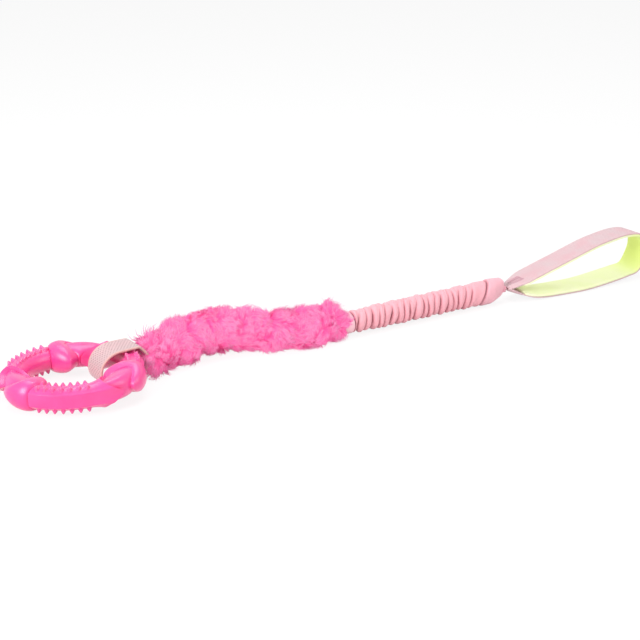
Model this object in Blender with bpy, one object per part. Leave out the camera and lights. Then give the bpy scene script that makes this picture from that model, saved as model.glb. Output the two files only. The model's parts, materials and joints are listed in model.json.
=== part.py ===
# Bungee tug toy: a chewy rubber ring in a webbing loop, a fluffy pull sleeve, a gathered
# bungee and a lined webbing hand loop. Metres, +Z up, the floor at Z = 0. The toy lies along X,
# with the ring at the low end, and its origin is under the middle of its box.
import math
import bpy
import bmesh
import numpy as np
from mathutils import Matrix, Vector

# General
COLLECTION_NAME = "bungee_tug_toy"
CLEARANCE = 0.0003            # between pieces that touch
BEND_GAP = 0.0024             # from a sewn end to the bend in its webbing
ROUNDING_ANGLES = tuple(math.radians(angle) for angle in (40, 68, 82))  # of webbing at a bend
CUT_OVERRUN = 0.006           # how far a cutter runs past what it cuts
ROUND_SIDES = 14
STRAP_CORNER_SHARE = 0.25     # of a strap's thickness
STRAP_STEPS = 3               # between two points of a strap's path

# Chew ring: one rubber moulding, three alike thirds
RING_RADIUS = 0.0510          # to the middle of the moulding
SHAFT_RADIUS = 0.0097
BAND_DISTANCE = 0.0093        # from the shaft's middle to its flat outer band
FLARE_RADIUS = 0.0104
BEAD_RADIUS = 0.0090
MOUTH_RADIUS = 0.0106         # of the bell where the bead comes out of it
BELL_RADIUS = 0.0130
CREASE_RADIUS = 0.0075
SHAFT_ARC = math.radians(54)
FLARE_ARC = math.radians(15)
BELL_ARC = math.radians(29)
FLARE_SLANT = math.radians(9)  # the flare reaches further round on the ring's outside
BELL_NOTCH = math.radians(13)  # the bell's rim is cut back at the top and underneath
RING_THIRDS = 3
BELL_PEAK_SHARE = 0.60
FLARE_PROFILE_ARC = math.radians(135)  # of the sine curve that the flare follows
RING_TURN = math.radians(-6)  # of the middle of the shaft that the webbing holds
RAISED_SIDE = math.radians(-12)  # the side of the ring that lies highest
RESTING_TILT_STEP = 1e-6
RING_SIDES = 16
RING_ARC_SHARES = ((0.0, 0.13, 0.25, 0.38, 0.5, 0.62, 0.75, 0.87), (0.0, 0.3, 0.6, 0.85, 1.0),
                   (0.0, 0.25, 0.5, 0.75, 1.0), (0.0, 0.2, 0.4, 0.6, 0.78, 0.9, 0.97))
SPIKE_LENGTH = 0.0042
SPIKE_BASE_RADIUS = 0.0016
SPIKE_TIP_RADIUS = 0.0004
SPIKE_ROOT = 0.0009           # how deep a spike is moulded into the shaft
SPIKE_PITCH = 0.0067
SPIKES_IN_ROW = 7
SPIKE_SIDES = 6
SPIKE_ROW_ANGLES = tuple(math.radians(angle) for angle in (60, 118, -60, -118))

# Webbing loop that holds the ring
WEBBING_WIDTH = 0.0250
WEBBING_THICKNESS = 0.0018
UNDER_SPIKES = 0.0031         # from the webbing on the floor up to the spikes' tips
LOOP_LENGTH = 0.0497          # from the bend at the sleeve's mouth
LOOP_HEIGHT = 0.0314          # of the webbing's middle at the top
LOOP_ROLL = math.radians(3)
LOOP_ROLL_SHARE = 0.5         # of the loop's length, over which the webbing rolls
LOOP_TOP_SHARES = ((0.12, 0.82), (0.225, 0.98), (0.36, 1.0), (0.54, 1.0), (0.70, 0.985),
                   (0.84, 0.90), (0.955, 0.72), (1.0, 0.48), (0.964, 0.25), (0.845, 0.075))
LOOP_FLOOR_SHARES = ((0.68, 0.0), (0.518, 0.0), (0.318, 0.0), (0.155, 0.14))

# Fluffy sleeve and the webbing inside it
SLEEVE_START = 0.0730         # from the ring's middle to the sleeve's mouth
SLEEVE_LENGTH = 0.1865
SLEEVE_RADIUS = 0.0200
SLEEVE_FLAT = 0.0005          # how deep the underside is pressed flat
SLEEVE_SWAY = 0.0140
SLEEVE_STATIONS = 38
CORE_STATIONS = 15
CORE_RAISE = 0.0040           # of the webbing over the sleeve's middle line
CORE_LEVEL_SHARE = 0.7        # of the sleeve's length, before the webbing comes down
SLEEVE_LUMP_SHARE = 0.055
SLEEVE_LUMP_WAVES = ((31, 2, 0), (47, -1, 1), (19, 0, math.pi / 2))  # along, round and where each starts
SLEEVE_SWAY_STEPS = 12
SLEEVE_GIRTH_SHARES = ((0.0, 0.84), (0.08, 0.97), (0.30, 1.03), (0.50, 0.98), (0.72, 0.92),
                       (0.92, 0.91), (1.0, 0.80))
SLEEVE_SWAY_SHARES = ((0.0, 0.25), (0.16, 0.7), (0.34, 1.0), (0.50, 0.75), (0.68, -0.45),
                      (0.84, -1.05), (1.0, -0.86))

# Bungee: an elastic core in a gathered cover
BUNGEE_LENGTH = 0.1530
BUNGEE_RADIUS = 0.0121
GATHER_DEPTH = 0.0019
GATHER_COUNT = 21
GATHER_SHARES = (0.30, 0.80)   # of a gather's length, where it is fullest and where it is drawn in
GATHER_UNEVEN_SHARE = 0.14
GATHER_PLACE_STEP = 2.4        # radians of unevenness from one gather to the next
GATHER_FULLNESS_STEP = 1.7
COVER_START_SHARE = 0.88
COVER_SWELL_SHARE = 0.25      # of its length, over which the cover gets its full girth
BUNGEE_REST_SHARE = 1.04      # of the height of its middle to its radius, as its fullest gather lies
CORD_RADIUS = 0.0052
CORE_GAP = 0.0012             # between the elastic core and its cover

# Folded and sewn ends of the bungee's cover
FRONT_FOLD_LENGTH = 0.0130
END_FOLD_LENGTH = 0.0280
END_FOLD_RADIUS = 0.0064
FRONT_FOLD_SHARES = ((0.0, 0.60), (0.30, 0.80), (0.75, 0.86), (1.0, 0.78))
END_FOLD_SHARES = ((0.0, 0.92), (0.16, 1.03), (0.42, 1.0), (0.66, 0.92), (0.85, 0.76))

# Hand loop: shares of its length and of its height, from the neck over the top and back below
HANDLE_WIDTH = 0.0280
HANDLE_THICKNESS = 0.0018
LINING_NARROWER = 0.0010      # than the webbing
LINING_THICKNESS = 0.0020
LINING_GAP = 0.0008           # from the webbing, whose twisted faces aren't quite flat
HANDLE_LENGTH = 0.1710
HANDLE_HEIGHT = 0.0360        # of the top of the loop over the neck
HANDLE_SWAY = 0.0100
NECK_WIDTH = 0.0095
HANDLE_SPREAD_SHARE = 0.12    # of the loop's length, over which the webbing opens out
HANDLE_SPREAD_POWER = 0.7
LOWER_ARM_ROLL = math.radians(12)
LOWER_ARM_ROLL_SHARE = 0.2    # of the loop's length, over which the lower arm rolls at each end
UPPER_ARM_SHARES = ((0.08, 0.13), (0.20, 0.34), (0.34, 0.54), (0.54, 0.82), (0.70, 0.95),
                    (0.82, 1.00), (0.92, 0.95), (0.985, 0.78))
FAR_BEND_SHARES = ((1.0, 0.54), (0.985, 0.26))
LOWER_ARM_SHARES = ((0.93, 0.21), (0.84, 0.115), (0.70, 0.045), (0.54, 0.0), (0.34, 0.0),
                    (0.20, 0.03), (0.10, 0.13))
HANDLE_SWAY_SHARES = ((0.0, 0.0), (0.2, -0.6), (0.5, -1.0), (1.0, -0.9))
LINING_START_SHARE = 0.09     # of the loop's length, from the neck

# Stitching where the hand loop is sewn to the neck
THREAD_RADIUS = 0.0004
TACK_START_SHARE = 0.055      # of the loop's length, from the neck
TACK_LENGTH = 0.0110
TACK_PITCH = 0.0022
TACK_WIDTH = 0.0100

SPIKE_REACH = SHAFT_RADIUS + SPIKE_LENGTH


def clear_scene():
    for old in list(bpy.data.objects):
        bpy.data.objects.remove(old, do_unlink=True)


def new_collection(name):
    collection = bpy.data.collections.new(name)
    bpy.context.scene.collection.children.link(collection)
    return collection


def plain_material(name, colour, roughness):
    material = bpy.data.materials.new(name)
    material.use_nodes = True
    shader = material.node_tree.nodes["Principled BSDF"]
    shader.inputs["Base Color"].default_value = (*colour, 1)
    shader.inputs["Roughness"].default_value = roughness
    shader.inputs["Metallic"].default_value = 0
    return material


def mesh_object(name, mesh, material, collection, smooth=True):
    piece = bpy.data.objects.new(name, mesh)
    collection.objects.link(piece)
    mesh.materials.clear()
    mesh.materials.append(material)
    if smooth:
        mesh.shade_smooth()
    return piece


def loft(name, sections, closed=False):
    """A closed skin through a row of unlike sections that have the same number of points."""
    shell = bmesh.new()
    rows = [[shell.verts.new(point) for point in section] for section in sections]
    sides = len(rows[0])
    spans = len(rows) if closed else len(rows) - 1
    for row in range(spans):
        here = rows[row]
        there = rows[(row + 1) % len(rows)]
        for side in range(sides):
            after = (side + 1) % sides
            shell.faces.new((here[side], here[after], there[after], there[side]))
    if not closed:
        shell.faces.new(rows[0])
        shell.faces.new(rows[-1])
    bmesh.ops.recalc_face_normals(shell, faces=shell.faces)
    mesh = bpy.data.meshes.new(name)
    shell.to_mesh(mesh)
    shell.free()
    return mesh


def cut_or_join(piece, other, operation):
    """Apply an exact Boolean of the other object to the piece, and remove the other object."""
    step = piece.modifiers.new("shape", "BOOLEAN")
    step.operation = operation
    step.solver = "EXACT"
    step.object = other
    bpy.context.view_layer.update()
    result = piece.evaluated_get(bpy.context.evaluated_depsgraph_get())
    mesh = bpy.data.meshes.new_from_object(result)
    piece.modifiers.clear()
    piece.data = mesh
    bpy.data.objects.remove(other, do_unlink=True)


def smooth_through(points, steps):
    """Points along a smooth curve through the given points."""
    ends = [2 * points[0] - points[1], *points, 2 * points[-1] - points[-2]]
    curve = []
    for first in range(1, len(ends) - 2):
        before, here, there, after = ends[first - 1:first + 3]
        for step in range(steps):
            t = step / steps
            curve.append(0.5 * (2 * here + (there - before) * t
                                + (2 * before - 5 * here + 4 * there - after) * t ** 2
                                + (3 * here - before - 3 * there + after) * t ** 3))
    curve.append(points[-1])
    return curve


def direction_at(points, index):
    """Which way a strap runs: level along X at its two ends, where it meets a joint's axis."""
    run = points[min(index + 1, len(points) - 1)] - points[max(index - 1, 0)]
    if index in (0, len(points) - 1):
        run = Vector((run.x, 0, 0))
    return run.normalized()


def strap_section(middle, along, across, width, thickness, lift):
    """A flat section with small corners, across the strap's run and lifted out of its path."""
    up = across.cross(along).normalized()
    side = along.cross(up).normalized() * (-1 if along.cross(up).dot(across) < 0 else 1)
    half_width = width / 2
    half_thickness = thickness / 2
    corner = thickness * STRAP_CORNER_SHARE
    outline = ((half_width, half_thickness - corner), (half_width - corner, half_thickness),
               (corner - half_width, half_thickness), (-half_width, half_thickness - corner),
               (-half_width, corner - half_thickness), (corner - half_width, -half_thickness),
               (half_width - corner, -half_thickness), (half_width, corner - half_thickness))
    return [middle + side * a + up * (b + lift) for a, b in outline]


def strap(name, points, across, widths, thicknesses, material, collection, lift=0, kept=None):
    """A strap along points; only the kept ones get a section, where they are given."""
    sections = [strap_section(points[index], direction_at(points, index), across[index],
                              widths[index], thicknesses[index], lift)
                for index in kept or range(len(points))]
    return mesh_object(name, loft(name, sections), material, collection, smooth=False)


def straight_strap(name, points, width, thickness, material, collection, round_start=False,
                   round_end=False):
    """A strap with its width along Y; an end on a joint's axis is rounded about that axis."""
    path = list(points)
    thicknesses = [thickness] * len(path)
    for angle in ROUNDING_ANGLES:
        step = Vector((thickness / 2 * math.sin(angle), 0, 0))
        if round_start:
            path.insert(0, points[0] - step)
            thicknesses.insert(0, thickness * math.cos(angle))
        if round_end:
            path.append(points[-1] + step)
            thicknesses.append(thickness * math.cos(angle))
    count = len(path)
    return strap(name, path, [Vector((0, 1, 0))] * count, [width] * count, thicknesses, material,
                 collection)


def tube(name, points, radii, material, collection, resolution=2):
    """A round tube along points, with a radius of its own at each."""
    curve = bpy.data.curves.new(name, "CURVE")
    curve.dimensions = "3D"
    curve.bevel_depth = 1
    curve.bevel_resolution = resolution
    curve.use_fill_caps = True
    spline = curve.splines.new("POLY")
    spline.points.add(len(points) - 1)
    for knot, point, radius in zip(spline.points, points, radii):
        knot.co = (*point, 1)
        knot.radius = radius
    line = bpy.data.objects.new(name + "_line", curve)
    collection.objects.link(line)
    bpy.context.view_layer.update()
    mesh = bpy.data.meshes.new_from_object(line.evaluated_get(bpy.context.evaluated_depsgraph_get()))
    bpy.data.objects.remove(line, do_unlink=True)
    skin = bmesh.new()
    skin.from_mesh(mesh)
    bmesh.ops.remove_doubles(skin, verts=skin.verts, dist=CLEARANCE / 10)
    bmesh.ops.recalc_face_normals(skin, faces=skin.faces)
    skin.to_mesh(mesh)
    skin.free()
    mesh.name = name
    return mesh_object(name, mesh, material, collection)


def pivot(name, place, carrier, collection):
    """An empty on a joint's axis, carried by the empty of the piece that it turns on."""
    empty = bpy.data.objects.new(name, None)
    empty.location = place
    empty.empty_display_size = SHAFT_RADIUS
    collection.objects.link(empty)
    if carrier:
        bpy.context.view_layer.update()
        empty.parent = carrier
        empty.location = place - carrier.matrix_world.translation
    bpy.context.view_layer.update()
    return empty


def hang_on(empty, pieces):
    """Give pieces made in the toy's frame their origin on the empty, and parent them to it."""
    place = empty.matrix_world.translation
    for piece in pieces:
        piece.data.transform(Matrix.Translation(-place))
        piece.parent = empty


def ring_arcs(turn):
    """The angles where the arcs of one third start and end, on one side of the section."""
    start = -SHAFT_ARC / 2
    end = start + math.tau / RING_THIRDS
    flare_end = start + SHAFT_ARC + FLARE_ARC + FLARE_SLANT * math.cos(turn)
    bell_start = end - BELL_ARC + BELL_NOTCH * math.sin(turn) ** 2
    return [start, start + SHAFT_ARC, flare_end, bell_start, end]


def ring_radius_at(arc, share):
    if arc == 0:
        return SHAFT_RADIUS
    if arc == 1:
        return SHAFT_RADIUS + (FLARE_RADIUS - SHAFT_RADIUS) * math.sin(share * FLARE_PROFILE_ARC)
    if arc == 2:
        return CREASE_RADIUS + (BEAD_RADIUS - CREASE_RADIUS) * math.sin(share * math.pi)
    if share <= BELL_PEAK_SHARE:
        swell = math.sin(share / BELL_PEAK_SHARE * math.pi / 2)
        return MOUTH_RADIUS + (BELL_RADIUS - MOUTH_RADIUS) * swell
    fall = (share - BELL_PEAK_SHARE) / (1 - BELL_PEAK_SHARE)
    return CREASE_RADIUS + (BELL_RADIUS - CREASE_RADIUS) * math.sqrt(max(1 - fall ** 2, 0))


def ring_section(part, arc, share):
    """One section: its sides lie at slightly different angles where a rim is slanted."""
    radius = ring_radius_at(arc, share)
    flat = max(BAND_DISTANCE, radius * BAND_DISTANCE / SHAFT_RADIUS)
    section = []
    for side in range(RING_SIDES):
        turn = math.tau * (side + 0.5) / RING_SIDES
        limits = ring_arcs(turn)
        angle = limits[arc] + (limits[arc + 1] - limits[arc]) * share
        angle += RING_TURN + part * math.tau / RING_THIRDS
        outward = Vector((math.cos(angle), math.sin(angle), 0))
        out = min(radius * math.cos(turn), flat)
        section.append(outward * (RING_RADIUS + out) + Vector((0, 0, radius * math.sin(turn))))
    return section


def spike_mesh():
    """All spikes of one shaft, in rows round its section, as separate closed cones."""
    spikes = bmesh.new()
    length = SPIKE_LENGTH + SPIKE_ROOT
    for row_angle in SPIKE_ROW_ANGLES:
        for count in range(SPIKES_IN_ROW):
            along = (count - (SPIKES_IN_ROW - 1) / 2) * SPIKE_PITCH / RING_RADIUS
            outward = Vector((math.cos(along), math.sin(along), 0))
            point_way = outward * math.cos(row_angle) + Vector((0, 0, math.sin(row_angle)))
            middle = outward * RING_RADIUS + point_way * (SHAFT_RADIUS - SPIKE_ROOT + length / 2)
            turn = Vector((0, 0, 1)).rotation_difference(point_way).to_matrix().to_4x4()
            bmesh.ops.create_cone(spikes, cap_ends=True, segments=SPIKE_SIDES,
                                  radius1=SPIKE_BASE_RADIUS, radius2=SPIKE_TIP_RADIUS,
                                  depth=length, matrix=Matrix.Translation(middle) @ turn)
    mesh = bpy.data.meshes.new("spikes")
    spikes.to_mesh(mesh)
    spikes.free()
    return mesh


def lean(tilt):
    """The turn that leans the ring down from its raised side."""
    axis = Vector((-math.sin(RAISED_SIDE), math.cos(RAISED_SIDE), 0))
    return Matrix.Rotation(-tilt, 4, axis)


def resting_tilt(mesh, place):
    """How far the ring leans until the two bells on its low side meet the floor."""
    low, high = 0, math.pi / 4
    while high - low > RESTING_TILT_STEP:
        tilt = (low + high) / 2
        turn = lean(tilt)
        if min((turn @ vertex.co).z for vertex in mesh.vertices) + place.z > 0:
            low = tilt
        else:
            high = tilt
    return low


def make_ring(material, collection, cutters):
    third = math.tau / RING_THIRDS
    sections = [ring_section(part, arc, share) for part in range(RING_THIRDS)
                for arc, shares in enumerate(RING_ARC_SHARES) for share in shares]
    ring = mesh_object("chew_ring", loft("chew_ring", sections, closed=True), material, collection)
    for part in range(RING_THIRDS):
        spikes = mesh_object("spikes", spike_mesh(), material, cutters)
        spikes.rotation_euler.z = RING_TURN + part * third
        cut_or_join(ring, spikes, "UNION")
    eye = eye_place()
    ring.data.transform(Matrix.Translation((-eye.x, 0, 0)))
    ring.data.transform(lean(resting_tilt(ring.data, eye)))
    ring.data.transform(Matrix.Translation(eye))
    return ring


def eye_place():
    """Where the ring's shaft turns in the webbing, over the webbing that lies on the floor."""
    bow = RING_RADIUS - math.sqrt(RING_RADIUS ** 2 - (WEBBING_WIDTH / 2) ** 2)
    lowest_tip = SPIKE_REACH * math.sin(max(SPIKE_ROW_ANGLES, key=math.sin))
    return Vector((RING_RADIUS - bow / 2, 0, WEBBING_THICKNESS + UNDER_SPIKES + lowest_tip))


def sleeve_radius_at(share):
    """The sleeve is fuller at its front half, and draws in at its two sewn ends."""
    shares = [along for along, girth in SLEEVE_GIRTH_SHARES]
    girths = [girth for along, girth in SLEEVE_GIRTH_SHARES]
    return SLEEVE_RADIUS * float(np.interp(share, shares, girths))


def sleeve_axis(share):
    """A point on the sleeve's middle line."""
    knots = [Vector((x * SLEEVE_LENGTH, y * SLEEVE_SWAY, 0)) for x, y in SLEEVE_SWAY_SHARES]
    curve = smooth_through(knots, SLEEVE_SWAY_STEPS)
    along = share * SLEEVE_LENGTH
    side = float(np.interp(along, [point.x for point in curve], [point.y for point in curve]))
    height = sleeve_radius_at(share) * math.cos(math.pi / ROUND_SIDES) - SLEEVE_FLAT
    return Vector((SLEEVE_START + along, side, height))


def core_axis(share):
    """A point on the webbing inside the sleeve, which comes down to the bungee's height."""
    place = sleeve_axis(share)
    fall = max(share - CORE_LEVEL_SHARE, 0) / (1 - CORE_LEVEL_SHARE)
    level = sleeve_axis(0).z + CORE_RAISE
    height = level + (bungee_height() - level) * (3 - 2 * fall) * fall ** 2
    return Vector((place.x, place.y, height))


def mouth_place():
    """The bend of the webbing in front of the sleeve's mouth."""
    return core_axis(0) - Vector((BEND_GAP, 0, 0))


def core_thickness():
    return 2 * WEBBING_THICKNESS + CLEARANCE


def bend_reach():
    """From a bend's axis to the piece that turns on the rounded webbing there."""
    return core_thickness() / 2 + CLEARANCE


def make_ring_loop(material, collection):
    """One strip from the mouth over the shaft, loosely round it and back underneath."""
    mouth = mouth_place()
    layer = (WEBBING_THICKNESS + CLEARANCE) / 2
    start = bend_reach() / LOOP_LENGTH
    floor = WEBBING_THICKNESS / 2 + CLEARANCE
    knots = [Vector((start, mouth.z + layer, 0))]
    for along, height in LOOP_TOP_SHARES:
        roll = LOOP_ROLL * min((along - start) / LOOP_ROLL_SHARE, 1) * height
        knots.append(Vector((along, height * LOOP_HEIGHT, roll)))
    knots += [Vector((along, floor + height * LOOP_HEIGHT, 0)) for along, height in LOOP_FLOOR_SHARES]
    knots.append(Vector((start, mouth.z - layer, 0)))
    path = []
    across = []
    for along, height, roll in smooth_through(knots, STRAP_STEPS):
        lift = max(height, floor + WEBBING_WIDTH / 2 * math.sin(max(roll, 0)))
        path.append(Vector((mouth.x - along * LOOP_LENGTH, mouth.y * (1 - along), lift)))
        across.append(Vector((0, math.cos(roll), math.sin(roll))))
    return strap("ring_loop", path, across, [WEBBING_WIDTH] * len(path),
                 [WEBBING_THICKNESS] * len(path), material, collection)


def sleeve_section(share):
    """A round section, lumpy towards the top and pressed flat where it lies on the floor."""
    middle = sleeve_axis(share)
    section = []
    for side in range(ROUND_SIDES):
        turn = math.tau * side / ROUND_SIDES
        lump = sum(math.sin(share * along + turn * around + start)
                   for along, around, start in SLEEVE_LUMP_WAVES)
        upward = (1 + math.sin(turn)) / 2
        radius = sleeve_radius_at(share) * (1 + SLEEVE_LUMP_SHARE * lump * upward / 2)
        height = max(middle.z + radius * math.sin(turn), 0)
        section.append(Vector((middle.x, middle.y + radius * math.cos(turn), height)))
    return section


def core_path():
    return [core_axis(step / CORE_STATIONS) for step in range(CORE_STATIONS + 1)]


def make_sleeve(material, collection, cutters):
    sections = [sleeve_section(step / SLEEVE_STATIONS) for step in range(SLEEVE_STATIONS + 1)]
    sleeve = mesh_object("fur_sleeve", loft("fur_sleeve", sections), material, collection)
    path = core_path()
    path = [path[0] - Vector((CUT_OVERRUN, 0, 0)), *path, path[-1] + Vector((CUT_OVERRUN, 0, 0))]
    bore = straight_strap("sleeve_bore", path, WEBBING_WIDTH + 2 * CLEARANCE,
                          core_thickness() + 2 * CLEARANCE, material, cutters)
    cut_or_join(sleeve, bore, "DIFFERENCE")
    return sleeve


def make_core(material, collection):
    path = [mouth_place(), *core_path(), bungee_start()]
    return straight_strap("core_webbing", path, WEBBING_WIDTH, core_thickness(), material, collection,
                          round_start=True, round_end=True)


def bungee_start():
    """The bend between the sleeve and the bungee."""
    return core_axis(1) + Vector((BEND_GAP, 0, 0))


def bungee_height():
    return BUNGEE_RADIUS * BUNGEE_REST_SHARE


def front_fold_axis(share):
    start = bungee_start()
    return Vector((start.x + bend_reach() + share * FRONT_FOLD_LENGTH, start.y, bungee_height()))


def bungee_axis(share):
    return front_fold_axis(1) + Vector((CLEARANCE + share * BUNGEE_LENGTH, 0, 0))


def end_fold_axis(share):
    return bungee_axis(1) + Vector((CLEARANCE + share * END_FOLD_LENGTH, 0, 0))


def neck_place():
    """The bend between the bungee's folded end and the hand loop."""
    return end_fold_axis(1) + Vector((BEND_GAP, 0, 0))


def make_bungee_cover(material, collection, cutters):
    """The gathered cover: each gather has a full and a drawn-in section, none quite alike."""
    points = [bungee_axis(0)]
    radii = [(BUNGEE_RADIUS - GATHER_DEPTH) * COVER_START_SHARE]
    for gather in range(GATHER_COUNT):
        uneven = GATHER_UNEVEN_SHARE * math.sin(gather * GATHER_PLACE_STEP)
        fullness = GATHER_DEPTH * GATHER_UNEVEN_SHARE * math.sin(gather * GATHER_FULLNESS_STEP)
        for part, radius in zip(GATHER_SHARES, (BUNGEE_RADIUS + fullness, BUNGEE_RADIUS - GATHER_DEPTH)):
            share = (gather + part + uneven) / GATHER_COUNT
            points.append(bungee_axis(share))
            swell = min(share / COVER_SWELL_SHARE, 1)
            radii.append(radius * (COVER_START_SHARE + (1 - COVER_START_SHARE) * swell))
    points.append(bungee_axis(1))
    radii.append(BUNGEE_RADIUS - GATHER_DEPTH)
    cover = tube("bungee_cover", points, radii, material, collection)
    overrun = Vector((CUT_OVERRUN, 0, 0))
    bore_ends = [bungee_axis(0) - overrun, bungee_axis(1) + overrun]
    bore = tube("cover_bore", bore_ends, [CORD_RADIUS + CORE_GAP] * 2, material, cutters)
    cut_or_join(cover, bore, "DIFFERENCE")
    return cover


def make_bungee_core(material, collection):
    points = [bungee_axis(step / CORE_STATIONS) for step in range(CORE_STATIONS + 1)]
    return tube("bungee_core", points, [CORD_RADIUS] * len(points), material, collection)


def make_front_fold(material, collection):
    points = [front_fold_axis(share) for share, radius in FRONT_FOLD_SHARES]
    radii = [BUNGEE_RADIUS * radius for share, radius in FRONT_FOLD_SHARES]
    return tube("bungee_front_fold", points, radii, material, collection)


def tab_path():
    return [end_fold_axis(0) + Vector((CLEARANCE, 0, 0)), end_fold_axis(1 / 2), neck_place()]


def make_end_fold(material, collection, cutters):
    """The cover's end, folded round the neck's webbing and sewn flat."""
    points = [end_fold_axis(share) for share, radius in END_FOLD_SHARES] + [end_fold_axis(1)]
    radii = [BUNGEE_RADIUS * radius for share, radius in END_FOLD_SHARES] + [END_FOLD_RADIUS]
    fold = tube("bungee_end_fold", points, radii, material, collection)
    path = tab_path()
    path = [path[0] - Vector((CUT_OVERRUN, 0, 0)), *path, path[-1] + Vector((CUT_OVERRUN, 0, 0))]
    bore = straight_strap("fold_bore", path, NECK_WIDTH + 2 * CLEARANCE,
                          core_thickness() + 2 * CLEARANCE, material, cutters)
    cut_or_join(fold, bore, "DIFFERENCE")
    return fold


def make_neck_tab(material, collection):
    return straight_strap("neck_tab", tab_path(), NECK_WIDTH, core_thickness(), material, collection,
                          round_end=True)


def handle_width_at(along_share):
    spread = min(along_share / HANDLE_SPREAD_SHARE, 1)
    return NECK_WIDTH + (HANDLE_WIDTH - NECK_WIDTH) * spread ** HANDLE_SPREAD_POWER


def handle_path():
    """Points, width directions and widths of the loop's webbing, from its upper end to its lower."""
    neck = neck_place()
    layer = (HANDLE_THICKNESS + CLEARANCE) / 2
    start = bend_reach() / HANDLE_LENGTH
    knots = [(start, layer, 0)]
    knots += [(x, layer + z * HANDLE_HEIGHT, 0) for x, z in UPPER_ARM_SHARES]
    knots += [(x, layer + z * HANDLE_HEIGHT, 0) for x, z in FAR_BEND_SHARES]
    for x, z in LOWER_ARM_SHARES:
        ramp = min((1 - x) / LOWER_ARM_ROLL_SHARE, 1) * min(x / LOWER_ARM_ROLL_SHARE, 1)
        roll = LOWER_ARM_ROLL * ramp
        rest = handle_width_at(x) / 2 * math.sin(roll) + HANDLE_THICKNESS / 2 + CLEARANCE
        knots.append((x, rest + z * HANDLE_HEIGHT - neck.z, roll))
    knots.append((start, -layer, 0))
    curve = smooth_through([Vector(knot) for knot in knots], STRAP_STEPS)
    points = []
    across = []
    widths = []
    for x, height, roll in curve:
        side = float(np.interp(x, [share for share, sway in HANDLE_SWAY_SHARES],
                               [sway * HANDLE_SWAY for share, sway in HANDLE_SWAY_SHARES]))
        points.append(neck + Vector((x * HANDLE_LENGTH, side, height)))
        across.append(Vector((0, math.cos(roll), math.sin(roll))))
        widths.append(handle_width_at(x))
    return points, across, widths


def make_handle(webbing, lining, thread, collection):
    points, across, widths = handle_path()
    pieces = [strap("handle_webbing", points, across, widths, [HANDLE_THICKNESS] * len(points),
                    webbing, collection)]
    reach = neck_place().x + LINING_START_SHARE * HANDLE_LENGTH
    lined = [index for index, point in enumerate(points) if point.x >= reach]
    pieces.append(strap("handle_lining", points, across, [width - LINING_NARROWER for width in widths],
                        [LINING_THICKNESS] * len(points), lining, collection,
                        lift=(HANDLE_THICKNESS + LINING_THICKNESS) / 2 + LINING_GAP, kept=lined))
    pieces.append(make_handle_tack(thread, collection))
    return pieces


def make_handle_tack(material, collection):
    """A zigzag of thread over the upper arm where it is sewn to the neck."""
    points, across, widths = handle_path()
    lift = HANDLE_THICKNESS / 2 + CLEARANCE + THREAD_RADIUS
    first = neck_place().x + TACK_START_SHARE * HANDLE_LENGTH
    stitches = round(TACK_LENGTH / TACK_PITCH)
    zigzag = []
    for stitch in range(stitches + 1):
        reach = first + stitch * TACK_PITCH
        after = next(index for index, point in enumerate(points) if point.x > reach)
        before = points[after - 1]
        here = before.lerp(points[after], (reach - before.x) / (points[after].x - before.x))
        up = direction_at(points, after).cross(across[after]).normalized()
        zigzag.append(here + up * lift + across[after] * TACK_WIDTH * (0.5 - stitch % 2))
    return tube("handle_tack", zigzag, [THREAD_RADIUS] * len(zigzag), material, collection, resolution=1)


clear_scene()
parts = new_collection(COLLECTION_NAME)
cutters = new_collection("cutters")
ring_rubber = plain_material("ring_rubber", (0.92, 0.11, 0.36), 0.45)
fur = plain_material("fur", (1.00, 0.20, 0.47), 0.95)
loop_webbing = plain_material("loop_webbing", (0.84, 0.62, 0.63), 0.85)
bungee_cloth = plain_material("bungee_cloth", (0.90, 0.42, 0.48), 0.85)
elastic = plain_material("elastic", (0.80, 0.78, 0.76), 0.8)
handle_cloth = plain_material("handle_cloth", (0.82, 0.57, 0.67), 0.85)
lime_lining = plain_material("lime_lining", (0.70, 0.88, 0.30), 0.9)
thread = plain_material("thread", (0.62, 0.36, 0.46), 0.7)

toy = pivot("toy", Vector((0, 0, 0)), None, parts)
loop_bend = pivot("loop_bend", mouth_place(), toy, parts)
ring_swing = pivot("ring_swing", eye_place(), loop_bend, parts)
bungee_bend = pivot("bungee_bend", bungee_start(), toy, parts)
bungee_stretch = pivot("bungee_stretch", end_fold_axis(0), bungee_bend, parts)
handle_bend = pivot("handle_bend", neck_place(), bungee_stretch, parts)

bodies = (
    (toy, (make_sleeve(fur, parts, cutters), make_core(loop_webbing, parts))),
    (loop_bend, (make_ring_loop(loop_webbing, parts),)),
    (ring_swing, (make_ring(ring_rubber, parts, cutters),)),
    (bungee_bend, (make_front_fold(bungee_cloth, parts),
                   make_bungee_cover(bungee_cloth, parts, cutters),
                   make_bungee_core(elastic, parts))),
    (bungee_stretch, (make_end_fold(bungee_cloth, parts, cutters), make_neck_tab(handle_cloth, parts))),
    (handle_bend, make_handle(handle_cloth, lime_lining, thread, parts)),
)
for empty, pieces in bodies:
    hang_on(empty, pieces)
bpy.context.view_layer.update()
corners = [piece.matrix_world @ vertex.co for empty, pieces in bodies for piece in pieces
           for vertex in piece.data.vertices]
toy.location.x = -(min(corner.x for corner in corners) + max(corner.x for corner in corners)) / 2
toy.location.y = -(min(corner.y for corner in corners) + max(corner.y for corner in corners)) / 2
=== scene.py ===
import json
import math

import bpy
import numpy as np
from mathutils import Matrix, Vector


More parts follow.
